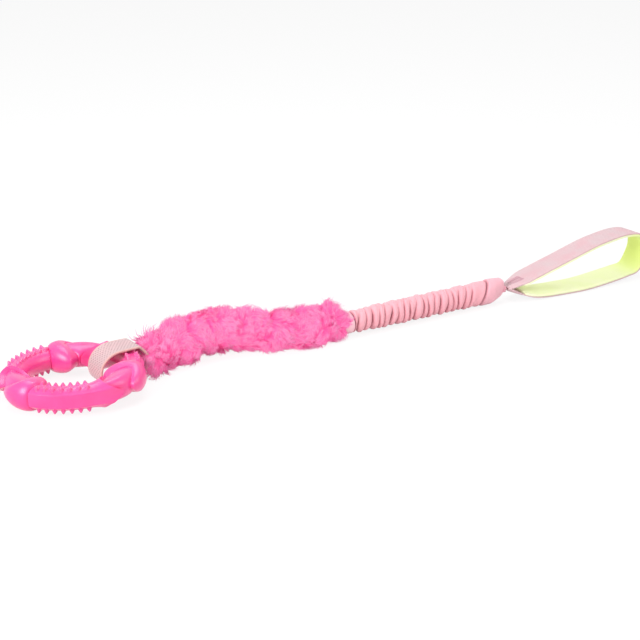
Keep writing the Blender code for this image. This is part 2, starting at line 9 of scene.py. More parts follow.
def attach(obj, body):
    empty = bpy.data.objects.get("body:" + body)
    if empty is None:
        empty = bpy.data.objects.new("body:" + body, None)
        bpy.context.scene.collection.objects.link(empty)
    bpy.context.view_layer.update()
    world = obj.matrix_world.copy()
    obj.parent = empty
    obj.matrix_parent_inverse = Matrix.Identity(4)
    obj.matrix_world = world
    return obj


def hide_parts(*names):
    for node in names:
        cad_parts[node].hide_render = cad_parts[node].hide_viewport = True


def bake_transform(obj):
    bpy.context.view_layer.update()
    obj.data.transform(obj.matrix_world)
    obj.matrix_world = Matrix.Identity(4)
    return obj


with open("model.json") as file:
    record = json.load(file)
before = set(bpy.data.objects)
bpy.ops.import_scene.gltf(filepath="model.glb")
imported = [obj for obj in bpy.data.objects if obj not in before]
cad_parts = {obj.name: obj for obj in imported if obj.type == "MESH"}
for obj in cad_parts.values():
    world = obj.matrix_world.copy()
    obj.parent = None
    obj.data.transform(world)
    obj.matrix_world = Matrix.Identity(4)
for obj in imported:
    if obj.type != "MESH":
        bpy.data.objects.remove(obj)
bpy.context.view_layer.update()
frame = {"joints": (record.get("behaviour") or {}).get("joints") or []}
bpy.ops.object.select_all(action="DESELECT")
joint_at = {joint["name"]: Vector(joint["pos_m"]) for joint in frame["joints"] if "pos_m" in joint}

# Camera. It looks along the toy from its ring end, a little over the table, and the far bend of
# the hand loop is just cut off by the edge of the picture.
camera = bpy.data.objects.new("camera", bpy.data.cameras.new("camera"))
bpy.context.scene.collection.objects.link(camera)
camera.data.lens = 100
camera.data.sensor_width = 36
camera.location = (-0.904419, -1.282679, 0.544)
camera.rotation_euler = (math.radians(71.19), 0, math.radians(-34.2))
bpy.context.scene.camera = camera


# Studio. A white table and a white room, which both show as white, under plain soft light: a broad
# lamp overhead, one from the camera's left and a weaker one from its right. The table keeps a
# faint shadow of the toy.
def set_inputs(node, inputs):
    """Set a node's inputs to values, or link them to sockets."""
    for name, value in dict(inputs).items():
        if isinstance(value, bpy.types.NodeSocket):
            node.id_data.links.new(value, node.inputs[name])
        else:
            node.inputs[name].default_value = value


def add_node(tree, kind, inputs=(), **settings):
    """A shader node with its settings and its inputs."""
    node = tree.nodes.new(kind)
    for name, value in settings.items():
        setattr(node, name, value)
    set_inputs(node, inputs)
    return node


def do_math(tree, operation, *values):
    """The result of a sum on values or sockets."""
    return add_node(tree, "ShaderNodeMath", enumerate(values), operation=operation).outputs[0]


def seen_directly(tree):
    """One for a ray from the camera, off gloss or through glass, and nought for any other."""
    path = add_node(tree, "ShaderNodeLightPath")
    either = do_math(tree, "MAXIMUM", path.outputs["Is Camera Ray"], path.outputs["Is Glossy Ray"])
    return do_math(tree, "MAXIMUM", either, path.outputs["Is Transmission Ray"])


table_gap = 0.0003
table_glow = 0.86
room_light = 0.44
bpy.ops.mesh.primitive_plane_add(size=8, location=(0, 0, -table_gap))
table = bpy.context.active_object
table.name = "table"
table_paint = bpy.data.materials.new("white_table")
table_paint.use_nodes = True
tree = table_paint.node_tree
tree.nodes.clear()
lit = add_node(tree, "ShaderNodeBsdfDiffuse", {"Color": (0.80, 0.80, 0.80, 1)})
faint = add_node(tree, "ShaderNodeBsdfDiffuse", {"Color": (0.15, 0.15, 0.15, 1)})
glow = add_node(tree, "ShaderNodeEmission", {"Color": (1, 1, 1, 1), "Strength": table_glow})
white = add_node(tree, "ShaderNodeAddShader", {0: faint.outputs[0], 1: glow.outputs[0]})
choice = add_node(tree, "ShaderNodeMixShader",
                  {0: seen_directly(tree), 1: lit.outputs[0], 2: white.outputs[0]})
add_node(tree, "ShaderNodeOutputMaterial", {"Surface": choice.outputs[0]})
table.data.materials.append(table_paint)

room = bpy.data.worlds.new("white_room")
room.use_nodes = True
tree = room.node_tree
tree.nodes.clear()
dim = add_node(tree, "ShaderNodeBackground", {"Color": (1, 1, 1, 1), "Strength": room_light})
bright = add_node(tree, "ShaderNodeBackground", {"Color": (1, 1, 1, 1), "Strength": 1.0})
choice = add_node(tree, "ShaderNodeMixShader",
                  {0: seen_directly(tree), 1: dim.outputs[0], 2: bright.outputs[0]})
add_node(tree, "ShaderNodeOutputWorld", {"Surface": choice.outputs[0]})
bpy.context.scene.world = room


def hang_lamp(name, place, target, size, power):
    """A square lamp that faces its target."""
    lamp = bpy.data.objects.new(name, bpy.data.lights.new(name, "AREA"))
    lamp.data.size = size
    lamp.data.energy = power
    lamp.location = place
    lamp.rotation_euler = (Vector(target) - Vector(place)).to_track_quat("-Z", "Y").to_euler()
    bpy.context.scene.collection.objects.link(lamp)


hang_lamp("overhead_lamp", (0.1, 0.35, 1.5), (0, 0, 0), 1.1, 12)
hang_lamp("side_lamp", (-1.5, -0.4, 0.8), (-0.1, 0, 0), 0.9, 21)
hang_lamp("front_lamp", (1.0, -1.3, 0.9), (0.1, 0, 0), 1.0, 9)
bpy.context.scene.view_settings.view_transform = "Standard"


# Chew ring. One moulding in soft pink rubber, three alike thirds: a spiked shaft with a flat band
# outside flares out to a slanted lip, and a bead comes out of it into the mouth of the next bell.
crisp_angle = math.radians(50)


def finish_piece(piece, name, material, body=None, nodes=(), smooth_angle=None):
    """Name a piece, give it its material, and tie it to the body and the nodes it stands for."""
    piece.name = name
    piece.data.name = name
    piece.data.materials.clear()
    piece.data.materials.append(material)
    piece.data.shade_smooth()
    if smooth_angle is not None:
        piece.data.set_sharp_from_angle(angle=smooth_angle)
    if body:
        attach(piece, body)
    if nodes:
        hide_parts(*nodes)
    piece.select_set(False)
    return piece


def apply_modifier(piece, kind, **settings):
    """Add a modifier with its settings and apply it."""
    bpy.context.view_layer.objects.active = piece
    step = piece.modifiers.new("step", kind)
    for name, value in settings.items():
        setattr(step, name, value)
    bpy.ops.object.modifier_apply(modifier=step.name)


ring_radius = 0.0510
ring_sides = 90
ring_turn = math.radians(-6)
shaft_radius = 0.0102
band_distance = 0.0091
band_swell = 0.06
band_edge = math.radians(31)
band_edge_spread = 0.13
band_flare = 1.4
flare_radius = 0.0124
bead_radius = 0.0108
mouth_radius = 0.0115
bell_radius = 0.0137
bell_inward = 0.72
flare_inward = 0.30
bead_inward = 0.45
bead_outward = 0.76
crease_radius = 0.0084
bell_peak = 0.36
shaft_start = math.radians(-26)
shaft_end = math.radians(26)
crease_slant = math.radians(3)
lip_top = math.radians(36)
lip_tongues = math.radians(19)
lip_lean = math.radians(4)
mouth_top = math.radians(77)
mouth_tongues = math.radians(15)
third = math.tau / 3
lip_rounding = 0.0006
lip_edge = math.radians(34)


def third_limits(side):
    """Where shaft, flare, bead and bell start and end at one side of the section."""
    start = shaft_start - crease_slant * math.cos(side)
    pointed = 0.6 * math.cos(side) ** 2 + 0.4 * math.cos(side) ** 12
    tongue = pointed if math.cos(side) > 0 else math.cos(side) ** 2
    lip = lip_top + lip_tongues * tongue - lip_lean * math.cos(side)
    mouth = mouth_top - mouth_tongues * math.cos(side) ** 2
    return start, shaft_end, lip, mouth, start + third


def shaft_profile(steps):
    """Rows of the arc that they lie in, their share of it and their radius."""
    for step in range(steps):
        yield 0, step / steps, shaft_radius


def flare_profile(steps):
    for step in range(steps + 1):
        share = step / steps
        yield 1, share, shaft_radius + (flare_radius - shaft_radius) * (0.6 * share + 0.4 * share ** 3)


def bead_profile(steps):
    for step in range(steps + 1):
        share = step / steps
        yield 2, share, crease_radius + (bead_radius - crease_radius) * math.sin(share * 2.3) ** 0.8


def bell_profile(steps):
    for step in range(steps):
        share = step / steps
        swell = math.sin(share * math.pi / 2)
        yield 3, share * bell_peak, mouth_radius + (bell_radius - mouth_radius) * swell
    for step in range(steps + 1):
        turn = step / steps * math.pi / 2
        yield 3, bell_peak + (0.995 - bell_peak) * math.sin(turn), \
            crease_radius + (bell_radius - crease_radius) * math.cos(turn) ** 0.9


profile = [*shaft_profile(26), *flare_profile(9), *bead_profile(12), *bell_profile(11)]
bpy.ops.mesh.primitive_torus_add(major_segments=3 * len(profile), minor_segments=ring_sides,
                                 major_radius=ring_radius, minor_radius=shaft_radius)
ring = bpy.context.active_object
for vertex in ring.data.vertices:
    round_angle = math.atan2(vertex.co.y, vertex.co.x) % math.tau
    place = round(round_angle / math.tau * 3 * len(profile)) % (3 * len(profile))
    side = math.atan2(vertex.co.z, math.hypot(vertex.co.x, vertex.co.y) - ring_radius)
    part, row = divmod(place, len(profile))
    arc, share, radius = profile[row]
    limits = third_limits(side)
    angle = limits[arc] + (limits[arc + 1] - limits[arc]) * share + ring_turn + part * third
    if arc < 2:
        radius *= 1 + band_swell * math.exp(-((abs(side) - band_edge) / band_edge_spread) ** 2)
    swollen = (radius - crease_radius) / (bell_radius - crease_radius)
    inward = (0, flare_inward * share, bead_inward, bell_inward * swollen)[arc]
    out = radius * math.cos(side) * (1 + inward if math.cos(side) < 0 else bead_outward if arc == 2 else 1)
    if arc < 2:
        out = min(out, band_distance + (profile[row][2] - shaft_radius) * band_flare)
    vertex.co = Vector((math.cos(angle) * (ring_radius + out), math.sin(angle) * (ring_radius + out),
                        radius * math.sin(side)))
apply_modifier(ring, "BEVEL", width=lip_rounding, segments=3, limit_method="ANGLE",
               angle_limit=lip_edge)

spike_steps = ((0.0003, 0.0027), (0.0010, 0.0021), (0.0019, 0.0016), (0.0027, 0.0011),
               (0.0032, 0.0008), (0.0035, 0.0005), (0.0036, 0.0002))
spike_foot = 0.0032
spike_root = 0.0007
spike_pitch = 0.0065
spikes_in_row = 7
spike_rows = [math.radians(angle) for angle in (64, 110, -64, -110)]
bpy.ops.mesh.primitive_circle_add(vertices=12, radius=spike_foot, fill_type="NGON")
spike = bpy.context.active_object
bpy.ops.object.mode_set(mode="EDIT")
bpy.ops.mesh.select_all(action="SELECT")
reach, girth = 0, spike_foot
for height, radius in spike_steps:
    bpy.ops.mesh.extrude_region_move(TRANSFORM_OT_translate={"value": (0, 0, height - reach)})
    bpy.ops.transform.resize(value=(radius / girth, radius / girth, 1))
    reach, girth = height, radius
bpy.ops.object.mode_set(mode="OBJECT")
tip = spike.data.attributes.new("tip", "FLOAT", "POINT")
tip.data.foreach_set("value", [max(vertex.co.z / reach, 0) ** 2 for vertex in spike.data.vertices])
ring.data.attributes.new("tip", "FLOAT", "POINT")
spikes = []
for part in range(3):
    for row in spike_rows:
        for count in range(spikes_in_row):
            along = (count - (spikes_in_row - 1) / 2) * spike_pitch / ring_radius + ring_turn + part * third
            outward = Vector((math.cos(along), math.sin(along), 0))
            way = outward * math.cos(row) + Vector((0, 0, math.sin(row)))
            foot = outward * ring_radius + way * (shaft_radius - spike_root)
            turn = Vector((0, 0, 1)).rotation_difference(way).to_matrix().to_4x4()
            copy = spike.copy()
            copy.data = spike.data.copy()
            copy.data.transform(Matrix.Translation(foot) @ turn)
            bpy.context.scene.collection.objects.link(copy)
            spikes.append(copy)
bpy.data.objects.remove(spike)
for piece in [ring, *spikes]:
    piece.select_set(True)
bpy.context.view_layer.objects.active = ring
bpy.ops.object.join()

strap_half_width = 0.0125
ring_eye = (ring_radius + math.sqrt(ring_radius ** 2 - strap_half_width ** 2)) / 2
raised_side = math.radians(-12)
ring_lean = math.radians(2.696)
lean_axis = Vector((-math.sin(raised_side), math.cos(raised_side), 0))
ring.data.transform(Matrix.Translation(joint_at["ring_swing"]) @ Matrix.Rotation(-ring_lean, 4, lean_axis)
                    @ Matrix.Translation((-ring_eye, 0, 0)))
# The soft bells lie flat on the table.
for vertex in ring.data.vertices:
    vertex.co.z = max(vertex.co.z, 0)


def start_material(name):
    """A new material, its node tree and its shader."""
    material = bpy.data.materials.new(name)
    material.use_nodes = True
    return material, material.node_tree, material.node_tree.nodes["Principled BSDF"]


def add_noise(tree, vector, scale, detail):
    noise = add_node(tree, "ShaderNodeTexNoise", {"Vector": vector, "Scale": scale, "Detail": detail})
    return noise.outputs["Fac"]


def add_range(tree, value, start, end, low=0.0, high=1.0):
    """Values from start to end, turned into values from low to high."""
    ends = {"Value": value, "From Min": start, "From Max": end, "To Min": low, "To Max": high}
    return add_node(tree, "ShaderNodeMapRange", ends).outputs["Result"]


def add_ramp(tree, value, stops):
    """Colours for a value, from stops of a place and a colour."""
    ramp = add_node(tree, "ShaderNodeValToRGB", {"Fac": value})
    elements = ramp.color_ramp.elements
    while len(elements) < len(stops):
        elements.new(1.0)
    for element, (position, colour) in zip(elements, stops):
        element.position = position
        element.color = (*colour, 1)
    return ramp.outputs["Color"]


def mix_colours(tree, mask, first, second):
    """Two colours, each three values or a socket, mixed by a mask."""
    first, second = [colour if isinstance(colour, bpy.types.NodeSocket) else (*colour, 1)
                     for colour in (first, second)]
    return add_node(tree, "ShaderNodeMix", {"Factor": mask, "A": first, "B": second},
                    data_type="RGBA").outputs["Result"]


def add_bump(tree, height, strength, distance):
    bump = add_node(tree, "ShaderNodeBump", {"Height": height, "Strength": strength, "Distance": distance})
    return bump.outputs["Normal"]


rubber, tree, shader = start_material("soft_pink_rubber")
place = add_node(tree, "ShaderNodeTexCoord").outputs["Object"]
cloud = add_noise(tree, place, 45.0, 4.0)
grain = add_noise(tree, place, 1600.0, 2.0)
tone = add_ramp(tree, cloud, ((0.3, (0.91, 0.044, 0.27)), (0.7, (0.95, 0.074, 0.34))))
tip_mask = add_node(tree, "ShaderNodeAttribute", attribute_name="tip").outputs["Fac"]
set_inputs(shader, {
    "Base Color": mix_colours(tree, tip_mask, tone, (0.78, 0.14, 0.34)),
    "Roughness": add_range(tree, grain, 0.0, 1.0, 0.27, 0.38),
    "Normal": add_bump(tree, grain, 0.12, 0.0002),
    "Subsurface Weight": 0.15,
    "Subsurface Radius": (1.0, 0.35, 0.5),
    "Subsurface Scale": 0.004,
    "Coat Weight": 0.5,
    "Coat Roughness": 0.34})
finish_piece(ring, "rubber_ring", rubber, "ring", ["chew_ring"], crisp_angle)


# Webbing loop. One strip of cream-pink woven webbing leaves the sleeve, goes loosely over the
# ring's shaft and back underneath it, and both its ends are sewn inside the sleeve.
def smooth_through(points, steps):
    """Points along a smooth curve through the given points."""
    ends = [2 * points[0] - points[1], *points, 2 * points[-1] - points[-2]]
    curve = []
    for first in range(1, len(ends) - 2):
        before, here, there, after = ends[first - 1:first + 3]
        for step in range(steps):
            t = step / steps
            curve.append(0.5 * (2 * here + (there - before) * t
                                + (2 * before - 5 * here + 4 * there - after) * t ** 2
                                + (3 * here - before - 3 * there + after) * t ** 3))
    curve.append(points[-1])
    return curve


def lay_strap(points, across, widths, thickness, lift=0, cells=12, sag=None, edge=0.0005):
    """A woven strap along a path. Its map runs in metres, along and across the strap."""
    bpy.ops.mesh.primitive_grid_add(x_subdivisions=len(points) - 1, y_subdivisions=cells, size=1)
    piece = bpy.context.active_object
    last = len(points) - 1
    lengths = [0]
    for here, there in zip(points, points[1:]):
        lengths.append(lengths[-1] + (there - here).length)
    spots = [(round((vertex.co.x + 0.5) * last), vertex.co.y) for vertex in piece.data.vertices]
    for vertex, (index, offset) in zip(piece.data.vertices, spots):
        along = points[min(index + 1, last)] - points[max(index - 1, 0)]
        up = across[index].cross(along).normalized()
        side = along.cross(up).normalized()
        side *= -1 if side.dot(across[index]) < 0 else 1
        raised = lift + (sag(index, offset) if sag else 0)
        vertex.co = points[index] + side * offset * widths[index] + up * raised
    sheet_map = piece.data.uv_layers[0]
    for loop in piece.data.loops:
        index, offset = spots[loop.vertex_index]
        sheet_map.data[loop.index].uv = (lengths[index], offset * widths[index])
    apply_modifier(piece, "SOLIDIFY", thickness=thickness, offset=0)
    apply_modifier(piece, "BEVEL", width=edge, segments=2, limit_method="ANGLE",
                   angle_limit=math.radians(60))
    return piece


def make_weave_group():
    """Woven threads: a height and a mask of the gaps, from a map in metres and a thread pitch."""
    group = bpy.data.node_groups.new("plain_weave", "ShaderNodeTree")
    for name, kind in (("Map", "NodeSocketVector"), ("Warp Pitch", "NodeSocketFloat"),
                       ("Weft Pitch", "NodeSocketFloat")):
        group.interface.new_socket(name=name, in_out="INPUT", socket_type=kind)
    for name in ("Height", "Gaps"):
        group.interface.new_socket(name=name, in_out="OUTPUT", socket_type="NodeSocketFloat")
    given = add_node(group, "NodeGroupInput").outputs
    axes = add_node(group, "ShaderNodeSeparateXYZ", {0: given["Map"]}).outputs
    along = do_math(group, "DIVIDE", axes["X"], given["Weft Pitch"])
    across = do_math(group, "DIVIDE", axes["Y"], given["Warp Pitch"])
    waves = []
    for way in ("ADD", "SUBTRACT"):
        turn = do_math(group, "MULTIPLY", do_math(group, way, along, across), math.pi)
        waves.append(do_math(group, "SINE", turn))
    rise = do_math(group, "ABSOLUTE", do_math(group, "MULTIPLY", *waves))
    hole = do_math(group, "MAXIMUM", *[do_math(group, "ABSOLUTE", wave) for wave in waves])
    fuzz = add_noise(group, given["Map"], 2600.0, 3.0)
    add_node(group, "NodeGroupOutput", {"Height": do_math(group, "MULTIPLY_ADD", fuzz, 0.35, rise),
                                        "Gaps": add_range(group, hole, 0.25, 0.75, 1.0, 0.0)})
    return group


plain_weave = make_weave_group()


def make_webbing_material(name, thread, gap, patch, border, warp, weft, depth, width):
    """Woven webbing: threads, darker gaps between them as painted shade, paler or greyer patches and two
    borders.
    """
    material, tree, shader = start_material(name)
    coords = add_node(tree, "ShaderNodeTexCoord").outputs
    weave = add_node(tree, "ShaderNodeGroup", node_tree=plain_weave)
    set_inputs(weave, {"Map": coords["UV"], "Warp Pitch": warp, "Weft Pitch": weft})
    cloud = add_noise(tree, coords["Object"], 60.0, 3.0)
    cloth = mix_colours(tree, add_range(tree, cloud, 0.35, 0.65), thread, patch)
    across = add_node(tree, "ShaderNodeSeparateXYZ", {0: coords["UV"]}).outputs["Y"]
    from_middle = do_math(tree, "ABSOLUTE", across)
    border_mask = add_range(tree, from_middle, width / 2 - 0.0022, width / 2 - 0.0008, high=0.5)
    bordered = mix_colours(tree, border_mask, cloth, border)
    inside = add_range(tree, from_middle, width / 2 - 0.0024, width / 2 - 0.0016, 1.0, 0.0)
    # The gaps between the threads are coloured darker: painted shade in the hollows of the weave.
    gap_shade = do_math(tree, "MULTIPLY", weave.outputs["Gaps"], inside)
    set_inputs(shader, {
        "Base Color": mix_colours(tree, gap_shade, bordered, gap),
        "Normal": add_bump(tree, weave.outputs["Height"], 0.6, depth),
        "Roughness": 0.82,
        "Sheen Weight": 0.25,
        "Sheen Roughness": 0.5})
    return material


webbing_width = 2 * strap_half_width
webbing_thickness = 0.0018
webbing_gap = 0.0003
loop_length = 0.0497
loop_height = 0.0314
loop_roll = math.radians(3)
loop_start_share = 0.045
loop_top = ((0.12, 0.82), (0.225, 0.98), (0.36, 1.0), (0.54, 1.0), (0.70, 0.985),
            (0.84, 0.90), (0.955, 0.72), (1.0, 0.48), (0.964, 0.25), (0.845, 0.075))
loop_floor = ((0.68, 0.0), (0.518, 0.0), (0.318, 0.0), (0.155, 0.14))
mouth = joint_at["loop_bend"]
layer = (webbing_thickness + webbing_gap) / 2
floor_height = webbing_thickness / 2 + webbing_gap
knots = [Vector((loop_start_share, mouth.z + layer, 0))]
for along, height in loop_top:
    roll = loop_roll * min((along - loop_start_share) * 2, 1) * height
    knots.append(Vector((along, height * loop_height, roll)))
knots += [Vector((along, floor_height + height * loop_height, 0)) for along, height in loop_floor]
knots.append(Vector((loop_start_share, mouth.z - layer, 0)))
loop_path, loop_across = [], []
for along, height, roll in smooth_through(knots, 8):
    lifted = max(height, floor_height + webbing_width / 2 * math.sin(max(roll, 0)))
    side = joint_at["ring_swing"].y * along + mouth.y * (1 - along)
    loop_path.append(Vector((mouth.x - along * loop_length, side, lifted)))
    loop_across.append(Vector((0, math.cos(roll), math.sin(roll))))
loop_webbing = make_webbing_material("cream_webbing", (0.66, 0.42, 0.44), (0.30, 0.14, 0.16),
                                     (0.60, 0.44, 0.45), (0.76, 0.40, 0.32), 0.0036, 0.0034, 0.0004,
                                     webbing_width)
ring_strap = lay_strap(loop_path, loop_across, [webbing_width] * len(loop_path), webbing_thickness)
finish_piece(ring_strap, "ring_strap", loop_webbing, "loop", ["ring_loop"], crisp_angle)


# Webbing inside the sleeve. The two ends of the same strip lie on each other, sewn together, and
# run through the fur from the ring's loop to the bungee; only their ends can be seen.
sleeve_start = Vector((mouth.x + 0.0024, joint_at["ring_swing"].y, 0))
sleeve_length = 0.1865
sleeve_radius = 0.0200
sleeve_sway = 0.0140
sleeve_sides = 14
sleeve_flat = 0.0005
sleeve_rise = 0.0035
sleeve_girths = ((0.0, 0.74), (0.08, 0.92), (0.30, 1.03), (0.50, 0.98), (0.72, 0.92), (0.92, 0.91),
                 (1.0, 0.80))
sleeve_sways = ((0.0, 0.25), (0.16, 0.7), (0.34, 1.0), (0.50, 0.75), (0.68, -0.45), (0.84, -1.05),
                (1.0, -0.86))
sway_curve = smooth_through([Vector((x * sleeve_length, y * sleeve_sway, 0)) for x, y in sleeve_sways], 12)


def sleeve_girth(share):
    """The sleeve's radius at a share of its length."""
    return sleeve_radius * np.interp(share, *zip(*sleeve_girths))


def sleeve_middle(share):
    """The sleeve's middle line at shares of its length, as rows of x, y and z."""
    along = np.asarray(share) * sleeve_length
    side = np.interp(along, [point.x for point in sway_curve], [point.y for point in sway_curve])
    height = sleeve_girth(share) * math.cos(math.pi / sleeve_sides) - sleeve_flat
    height = height + sleeve_rise * np.exp(-((np.asarray(share) - 0.37) / 0.14) ** 2)
    return np.stack([sleeve_start.x + along, sleeve_start.y + side, height], axis=-1)


core_steps = 24
core_path = [mouth.copy()]
for step in range(core_steps + 1):
    share = step / core_steps
    fall = max(share - 0.7, 0) / 0.3
    level = mouth.z + (joint_at["bungee_bend"].z - mouth.z) * (3 - 2 * fall) * fall ** 2
    middle = sleeve_middle(share)
    core_path.append(Vector((middle[0], middle[1], level)))
core_path.append(joint_at["bungee_bend"].copy())
core_webbing = lay_strap(core_path, [Vector((0, 1, 0))] * len(core_path), [webbing_width] * len(core_path),
                         2 * webbing_thickness, edge=0.0012)
finish_piece(core_webbing, "sleeve_webbing", loop_webbing, "sleeve", ["core_webbing"],
             crisp_angle)


# Fluffy sleeve. A tube of long-pile faux fur round the webbing: a soft lumpy backing that carries
# thousands of fine strands. They lie together in curling locks, with strays among them, and stand
# out at the two ends, where the front ones droop over the strap.
random_numbers = np.random.default_rng(7)
pile_roots = random_numbers.uniform
back_half_width = 0.0166
back_half_height = 0.0146
backing_thickness = 0.0012
strands_in_piece = 12800
fur_pieces = 4
strand_reach = 0.0086
strand_width = 0.00042
strand_flatness = 0.16
stray_share = 0.20
stray_length = 1.35
stray_pull = 0.12
small_lock_pull = 0.50
large_lock_pull = 0.16
front_tuft_end = 0.06
rear_tuft_start = 0.93
front_droop = 0.0085
lock_radius = 0.0132
large_lock_reach = 0.011
small_lock_reach = 0.0034
lowest_strand = 0.0004
lowest_spread = 0.0014


def backing_point(share, turn):
    """Points of the fur's backing, with lumps as the stuffed webbing gives it."""
    middle = sleeve_middle(share)
    scale = sleeve_girth(share) / sleeve_radius
    lump = 1 + 0.07 * np.sin(31 * share + 2 * turn) + 0.06 * np.sin(47 * share - turn + 1)
    front = 0.20 + 0.80 * np.sin(np.clip((share + 0.004) / 0.05, 0, 1) * math.pi / 2) ** 0.8
    rear = 0.62 + 0.38 * np.sin(np.clip((1.004 - share) / 0.04, 0, 1) * math.pi / 2) ** 0.8
    points = middle.copy()
    points[..., 1] += back_half_width * scale * lump * np.cos(turn)
    points[..., 2] += back_half_height * scale * lump * np.sin(turn) * front * rear
    points[..., 2] += (mouth.z - middle[..., 2]) * (1 - front)
    return points


def close_seam(gap):
    """Weld the edges of the active piece that meet, and face it outward."""
    bpy.ops.object.mode_set(mode="EDIT")
    bpy.ops.mesh.select_all(action="SELECT")
    bpy.ops.mesh.remove_doubles(threshold=gap)
    bpy.ops.mesh.normals_make_consistent(inside=False)
    bpy.ops.object.mode_set(mode="OBJECT")


bpy.ops.mesh.primitive_grid_add(x_subdivisions=150, y_subdivisions=48, size=1)
backing = bpy.context.active_object
flat = np.array([vertex.co for vertex in backing.data.vertices])
rolled = backing_point(flat[:, 0] + 0.5, flat[:, 1] * math.tau)
backing.data.vertices.foreach_set("co", rolled.ravel())
close_seam(0.00005)
apply_modifier(backing, "SOLIDIFY", thickness=backing_thickness, offset=-1)


def unit(rows):
    """The rows as vectors of length one."""
    return rows / np.maximum(np.linalg.norm(rows, axis=-1, keepdims=True), 1e-9)


def backing_frame(share, turn):
    """Where a strand is rooted, and its up, along and around directions there."""
    step = 0.002
    root = backing_point(share, turn)
    along = unit(backing_point(share + step, turn) - backing_point(share - step, turn))
    around = unit(backing_point(share, turn + step) - backing_point(share, turn - step))
    up = unit(np.cross(around, along))
    outward = root - sleeve_middle(share)
    up *= np.where((up * outward).sum(-1, keepdims=True) < 0, -1, 1)
    return root, up, along, around


def scatter_locks(across_count, along_count):
    """Centres of locks on a jittered grid, with a lie, a curl and a length for each."""
    rows, columns = np.meshgrid(np.arange(along_count), np.arange(across_count), indexing="ij")
    share = (rows + pile_roots(0.1, 0.9, rows.shape)) / along_count
    turn = (columns + pile_roots(0.1, 0.9, rows.shape)) / across_count * math.tau
    share, turn = share.ravel(), turn.ravel()
    lie = 1.5 * np.sin(17 * share + turn) + 1.2 * np.sin(29 * share - 2 * turn + 2)
    lie += pile_roots(-0.9, 0.9, share.shape)
    curl = pile_roots(-1.1, 1.1, share.shape)
    length = pile_roots(0.82, 1.2, share.shape)
    return share, turn, lie, curl, length


def nearest_lock(share, turn, locks):
    """Which lock each strand belongs to, by distance on the backing."""
    best = np.full(share.shape, 1e9)
    index = np.zeros(share.shape, int)
    for number, (lock_share, lock_turn) in enumerate(zip(locks[0], locks[1])):
        along = (share - lock_share) * sleeve_length
        around = (np.mod(turn - lock_turn + math.pi, math.tau) - math.pi) * lock_radius
        distance = along ** 2 + around ** 2
        closer = distance < best
        best[closer] = distance[closer]
        index[closer] = number
    return index, np.sqrt(best)


large_locks = scatter_locks(8, 18)
small_locks = scatter_locks(24, 52)
strand_rings = np.array([0.0, 0.36, 0.70, 1.0])


def lock_line(share, turn, lie, curl, length, t):
    """Places along a strand or the middle of a lock, from root to tip."""
    root, up, along, around = backing_frame(share, turn)
    angle = (lie + curl * t)[..., None]
    flow = np.cos(angle) * along + np.sin(angle) * around
    rise = length * 0.54 * (1 - (1 - t) ** 1.8)
    lean = length * 0.80 * t ** 1.25
    return root + up * rise[..., None] + flow * lean[..., None]


def comb_strands(count):
    """The places of strands' rings, their up directions and how near their locks' middles they are."""
    share = pile_roots(-0.004, 1.004, count)
    turn = pile_roots(0, math.tau, count)
    large, large_distance = nearest_lock(share, turn, large_locks)
    small, small_distance = nearest_lock(share, turn, small_locks)
    lie = large_locks[2][large] + 0.35 * small_locks[3][small] + pile_roots(-0.25, 0.25, count)
    curl = large_locks[3][large] + 0.3 * small_locks[3][small]
    stray = pile_roots(0, 1, count) < stray_share
    length = strand_reach * large_locks[4][large] * small_locks[4][small] ** 0.6
    fullness = np.clip(1.12 - 0.35 * large_distance / large_lock_reach, 0.6, 1.15)
    length *= fullness * pile_roots(0.8, 1.08, count)
    rear = np.clip((share - rear_tuft_start) / (1 - rear_tuft_start), 0, 1)
    front = np.clip((front_tuft_end - share) / front_tuft_end, 0, 1)
    lie = lie * (1 - np.maximum(rear, front)) + front * math.pi * np.sign(lie) * 0.9 + rear * lie * 0.2
    upper = 0.5 + 0.5 * np.sin(turn)
    length *= 1 + rear * (0.1 + 0.9 * upper ** 3) + front * (0.5 + 1.0 * upper)
    length *= np.where(stray, stray_length, 1)
    places = []
    for t in strand_rings:
        step = np.full(count, t)
        own = lock_line(share, turn, lie, curl, length, step)
        small_line = lock_line(small_locks[0][small], small_locks[1][small], lie, curl, length, step)
        large_line = lock_line(large_locks[0][large], large_locks[1][large], lie, curl, length, step)
        pull_small = (np.where(stray, stray_pull, small_lock_pull) * t ** 1.3)[:, None]
        pull_large = large_lock_pull * t ** 1.6
        places.append(own * (1 - pull_small - pull_large) + small_line * pull_small + large_line * pull_large)
        places[-1][:, 2] -= front_droop * front * upper * t ** 1.5
    up = backing_frame(share, turn)[1]
    lock_middle_light = np.clip(1 - small_distance / small_lock_reach, 0, 1)
    return np.stack(places, axis=1), up, lock_middle_light


